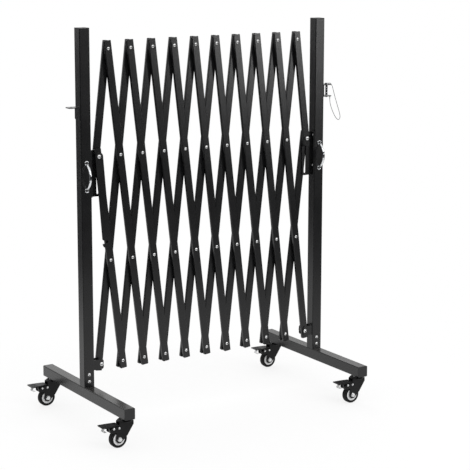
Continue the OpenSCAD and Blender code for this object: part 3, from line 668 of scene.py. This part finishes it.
def screw_is_third(lo, hi):
    """Slot 2 for the handle's two screws, which end near the post's front, slot 0 for the others."""
    return 2 if hi[1] < post_lo[1] + SCREW_END else 0


def wheel_part(lo, hi):
    """Slot 0 for the tyre, over 50 mm high, slot 1 for the core, over 30 mm, and slot 2 for the bush."""
    height = hi[2] - lo[2]
    return 0 if height > 50 * MM else 1 if height > 30 * MM else 2


# Dimples of the heads: radius, and the depths between which a face is in one, from the head's front; a solid
# with a head is at least HEADED_DEEP deep
DIMPLE_RADIUS = 2.6 * MM
DIMPLE_FROM = 0.22 * MM
DIMPLE_TO = 1.4 * MM
HEADED_DEEP = 9 * MM


def shade_dimples(node, limit, slot):
    """Gives the slot of the dark, painted shade to the heads' dimples: faces DIMPLE_FROM to DIMPLE_TO deep,
    near the solid's axis.
    """
    mesh = nodes[node].data
    corners, label = solids(nodes[node])
    index = np.empty(len(label), int)
    mesh.polygons.foreach_get("material_index", index)
    centre = corners.mean(1)
    for one in np.unique(label):
        mine = label == one
        pts = corners[mine].reshape(-1, 3)
        lo, hi = pts.min(0), pts.max(0)
        if (hi - lo).max() > limit * MM or hi[1] - lo[1] < HEADED_DEEP:
            continue
        away = np.hypot(centre[:, 0] - (lo[0] + hi[0]) / 2, centre[:, 2] - (lo[2] + hi[2]) / 2)
        deep = centre[:, 1] - lo[1]
        index[mine & (away < DIMPLE_RADIUS) & (deep > DIMPLE_FROM) & (deep < DIMPLE_TO)] = slot
    mesh.polygons.foreach_set("material_index", index)
    mesh.update()


# Limits in mm: no rivet, no bolt of a fork, pedal or lug, and no bolt with a dimple has a longer side
RIVET_MOST = 34
AXLE_MOST = 41
BOLT_MOST = 52
# How a node's name starts, which slot each of its solids takes, its materials, and the limit in mm for its
# solids with a dimple
FINISHES = ((("caps",), plain, [CAP], 0),
            (("bolts", "slide_bolt"), screw_is_third, [ZINC, DIMPLE, OXIDE], BOLT_MOST),
            (("stems",), plain, [ZINC], 0),
            (("pin",), plain, [PIN_CHROME], 0),
            (("handle",), plain, [CAST_CHROME], 0),
            (("wheel",), wheel_part, [TYRE, CORE, ZINC], 0),
            (("bar_f",), small_is_second(RIVET_MOST), [PAINT, ZINC, DIMPLE], RIVET_MOST),
            (("fork", "pedal"), small_is_second(AXLE_MOST), [LACQUER, ZINC], 0),
            (("lug",), small_is_second(AXLE_MOST), [PAINT, ZINC], 0),
            (("",), plain, [PAINT], 0))

for name in nodes:
    _, choose, materials, dimpled = next(row for row in FINISHES if name.startswith(row[0]))
    finish_by_solid(name, choose, materials)
    if dimpled:
        shade_dimples(name, dimpled, materials.index(DIMPLE))


# Studio: white floor and surround for the camera, dark cloth for gloss, and soft lamps
# Half the floor's width, and the distances from the middle between which it goes plain white, in metres
FLOOR_HALF = 40
PAPER_FADE = (0.6, 1.3)
# The cloth: radii of its rings, how far it lies over the floor, and where it goes from clear to dark
CLOTH_RADII = (0.9, 1.6, 2.6, 5.0, 5.0)
CLOTH_LIFT = 0.003
CLOTH_FADE = (1.3, 3.0)
# Height of the cloth wall: mean, swing, and the angle from X at which it is lowest
WALL_MEAN, WALL_SWING, WALL_LOW = 1.45, 0.65, math.radians(58.5)
# Name, place, aim, width and height in metres, and watts: above the handles, at the right, and behind
LAMPS = (("key", (-0.4, -4.0, 3.9), (0, 0, 0.7), (2.2, 2.2), 40),
         ("side", (2.45, -3.4, 1.62), (0.17, 0, 1.2), (0.62, 1.7), 27),
         ("back", (1.4, 4.2, 4.2), (0, 0, 0.5), (2.2, 2.2), 40))


def background_rays(tree):
    """One for the rays of camera, gloss and glass, nought for those that carry the light."""
    ray = add(tree, "ShaderNodeLightPath", (-900, 300))
    seen = add(tree, "ShaderNodeMath", (-700, 300), links={0: ray.outputs["Is Camera Ray"],
                                                          1: ray.outputs["Is Glossy Ray"]},
               operation="MAXIMUM")
    return add(tree, "ShaderNodeMath", (-500, 300), links={0: seen.outputs[0],
                                                          1: ray.outputs["Is Transmission Ray"]},
               operation="MAXIMUM").outputs[0]


def by_distance(tree, start, end, low, high):
    """A value that goes smoothly from low to high as the distance from the origin goes from start to end."""
    place = add(tree, "ShaderNodeTexCoord", (-1100, 0))
    away = add(tree, "ShaderNodeVectorMath", (-900, 0), links={0: place.outputs["Object"]},
               operation="LENGTH")
    return add(tree, "ShaderNodeMapRange", (-700, 0), {"From Min": start, "From Max": end, "To Min": low,
                                                      "To Max": high}, {"Value": away.outputs["Value"]},
               interpolation_type="SMOOTHSTEP").outputs["Result"]


def lit_floor():
    """Matt white paper: it takes light and shadow, and to the eye fades to plain white away from the gate."""
    mat, tree, shader = new_material("white_paper_floor", "#f6f6f6", Roughness=0.9, Specular_IOR_Level=0.1)
    share = add(tree, "ShaderNodeMath", (-300, 300), {}, {0: background_rays(tree),
                                                          1: by_distance(tree, *PAPER_FADE, 0.8, 1.0)},
                operation="MULTIPLY")
    white = add(tree, "ShaderNodeEmission", (-300, 100), {"Color": linear("#ffffff"), "Strength": 1.0})
    out = tree.nodes["Material Output"]
    both = add(tree, "ShaderNodeMixShader", (100, 200), links={0: share.outputs[0], 1: shader.outputs[0],
                                                               2: white.outputs[0]})
    tree.links.new(both.outputs[0], out.inputs["Surface"])
    return mat


def dark_cloth():
    """Dark cloth on the floor round the white paper, and up a round wall: rings of a radius and a height.

    The wall is WALL_MEAN - WALL_SWING cos(a - WALL_LOW) high, lowest behind the right post. The cloth stands
    outside the picture and only gloss shows it, which gives the paint its dark band between the near floor
    and the lamps. It takes no light from the object and casts no shadow.
    """
    a = np.linspace(0, 2 * math.pi, 64, endpoint=False)
    radius = np.array(CLOTH_RADII)[:, None]
    top = (WALL_MEAN - WALL_SWING * np.cos(a - WALL_LOW))[None, :]
    height = np.concatenate([np.full((len(CLOTH_RADII) - 1, len(a)), CLOTH_LIFT), top])
    rings = np.stack([radius * np.cos(a), radius * np.sin(a), height], -1)
    index = np.arange(rings[..., 0].size).reshape(rings.shape[:2])
    after = np.roll(index, -1, axis=1)
    quads = np.stack([index[:-1], after[:-1], after[1:], index[1:]], -1).reshape(-1, 4)
    mesh = bpy.data.meshes.new("dark_cloth")
    mesh.from_pydata(rings.reshape(-1, 3).tolist(), [], quads.tolist())
    mat, tree, shader = new_material("dark_wool_cloth", "#434344", Roughness=1.0, Specular_IOR_Level=0.0)
    where = add(tree, "ShaderNodeTexCoord", (-1100, 500))
    across = add(tree, "ShaderNodeSeparateXYZ", (-900, 500), links={0: where.outputs["Object"]})
    behind = add(tree, "ShaderNodeMapRange", (-700, 500), {"From Min": -1.0, "From Max": 1.0},
                 {"Value": across.outputs["Y"]})
    tone = add(tree, "ShaderNodeValToRGB", (-500, 500), links={"Fac": behind.outputs["Result"]},
               stops=[(0.0, "#303031"), (1.0, "#787879")])
    tree.links.new(tone.outputs["Color"], shader.inputs["Base Color"])
    clear = add(tree, "ShaderNodeBsdfTransparent", (-200, -200))
    both = add(tree, "ShaderNodeMixShader", (100, 200), links={0: by_distance(tree, *CLOTH_FADE, 0.0, 1.0),
                                                               1: clear.outputs[0], 2: shader.outputs[0]})
    tree.links.new(both.outputs[0], tree.nodes["Material Output"].inputs["Surface"])
    mesh.materials.append(mat)
    cloth = bpy.data.objects.new("dark_cloth", mesh)
    bpy.context.scene.collection.objects.link(cloth)
    for kind in ("camera", "diffuse", "transmission", "volume_scatter", "shadow"):
        setattr(cloth, "visible_" + kind, False)


def surround():
    """White for the camera, gloss and glass, and a soft even light on the object."""
    world = bpy.data.worlds.new("surround")
    bpy.context.scene.world = world
    world.use_nodes = True
    tree = world.node_tree
    tree.nodes.clear()
    soft = add(tree, "ShaderNodeBackground", (-300, 0), {"Color": linear("#ffffff"), "Strength": 0.95})
    white = add(tree, "ShaderNodeBackground", (-300, -200), {"Color": linear("#ffffff"), "Strength": 1.0})
    mix = add(tree, "ShaderNodeMixShader", (0, 0), links={0: background_rays(tree), 1: soft.outputs[0],
                                                          2: white.outputs[0]})
    add(tree, "ShaderNodeOutputWorld", (200, 0), links={0: mix.outputs[0]})


def studio():
    """A wide paper floor, the cloth, the surround and the soft lamps."""
    mesh = bpy.data.meshes.new("floor")
    corners = [(x * FLOOR_HALF, y * FLOOR_HALF, 0.0) for x, y in ((-1, -1), (1, -1), (1, 1), (-1, 1))]
    mesh.from_pydata(corners, [], [(0, 1, 2, 3)])
    floor = bpy.data.objects.new("floor", mesh)
    bpy.context.scene.collection.objects.link(floor)
    mesh.materials.append(lit_floor())
    dark_cloth()
    surround()
    for lamp, place, aim, size, power in LAMPS:
        data = bpy.data.lights.new(lamp, "AREA")
        data.shape = "RECTANGLE"
        data.size, data.size_y = size
        data.energy = power
        obj = bpy.data.objects.new(lamp, data)
        bpy.context.scene.collection.objects.link(obj)
        back = np.array(place) - np.array(aim)
        back /= np.linalg.norm(back)
        side = np.cross([0, 0, 1], back)
        side /= np.linalg.norm(side)
        turned(obj, side, np.cross(back, side), back, place)


studio()
bpy.context.scene.view_settings.view_transform = "Standard"
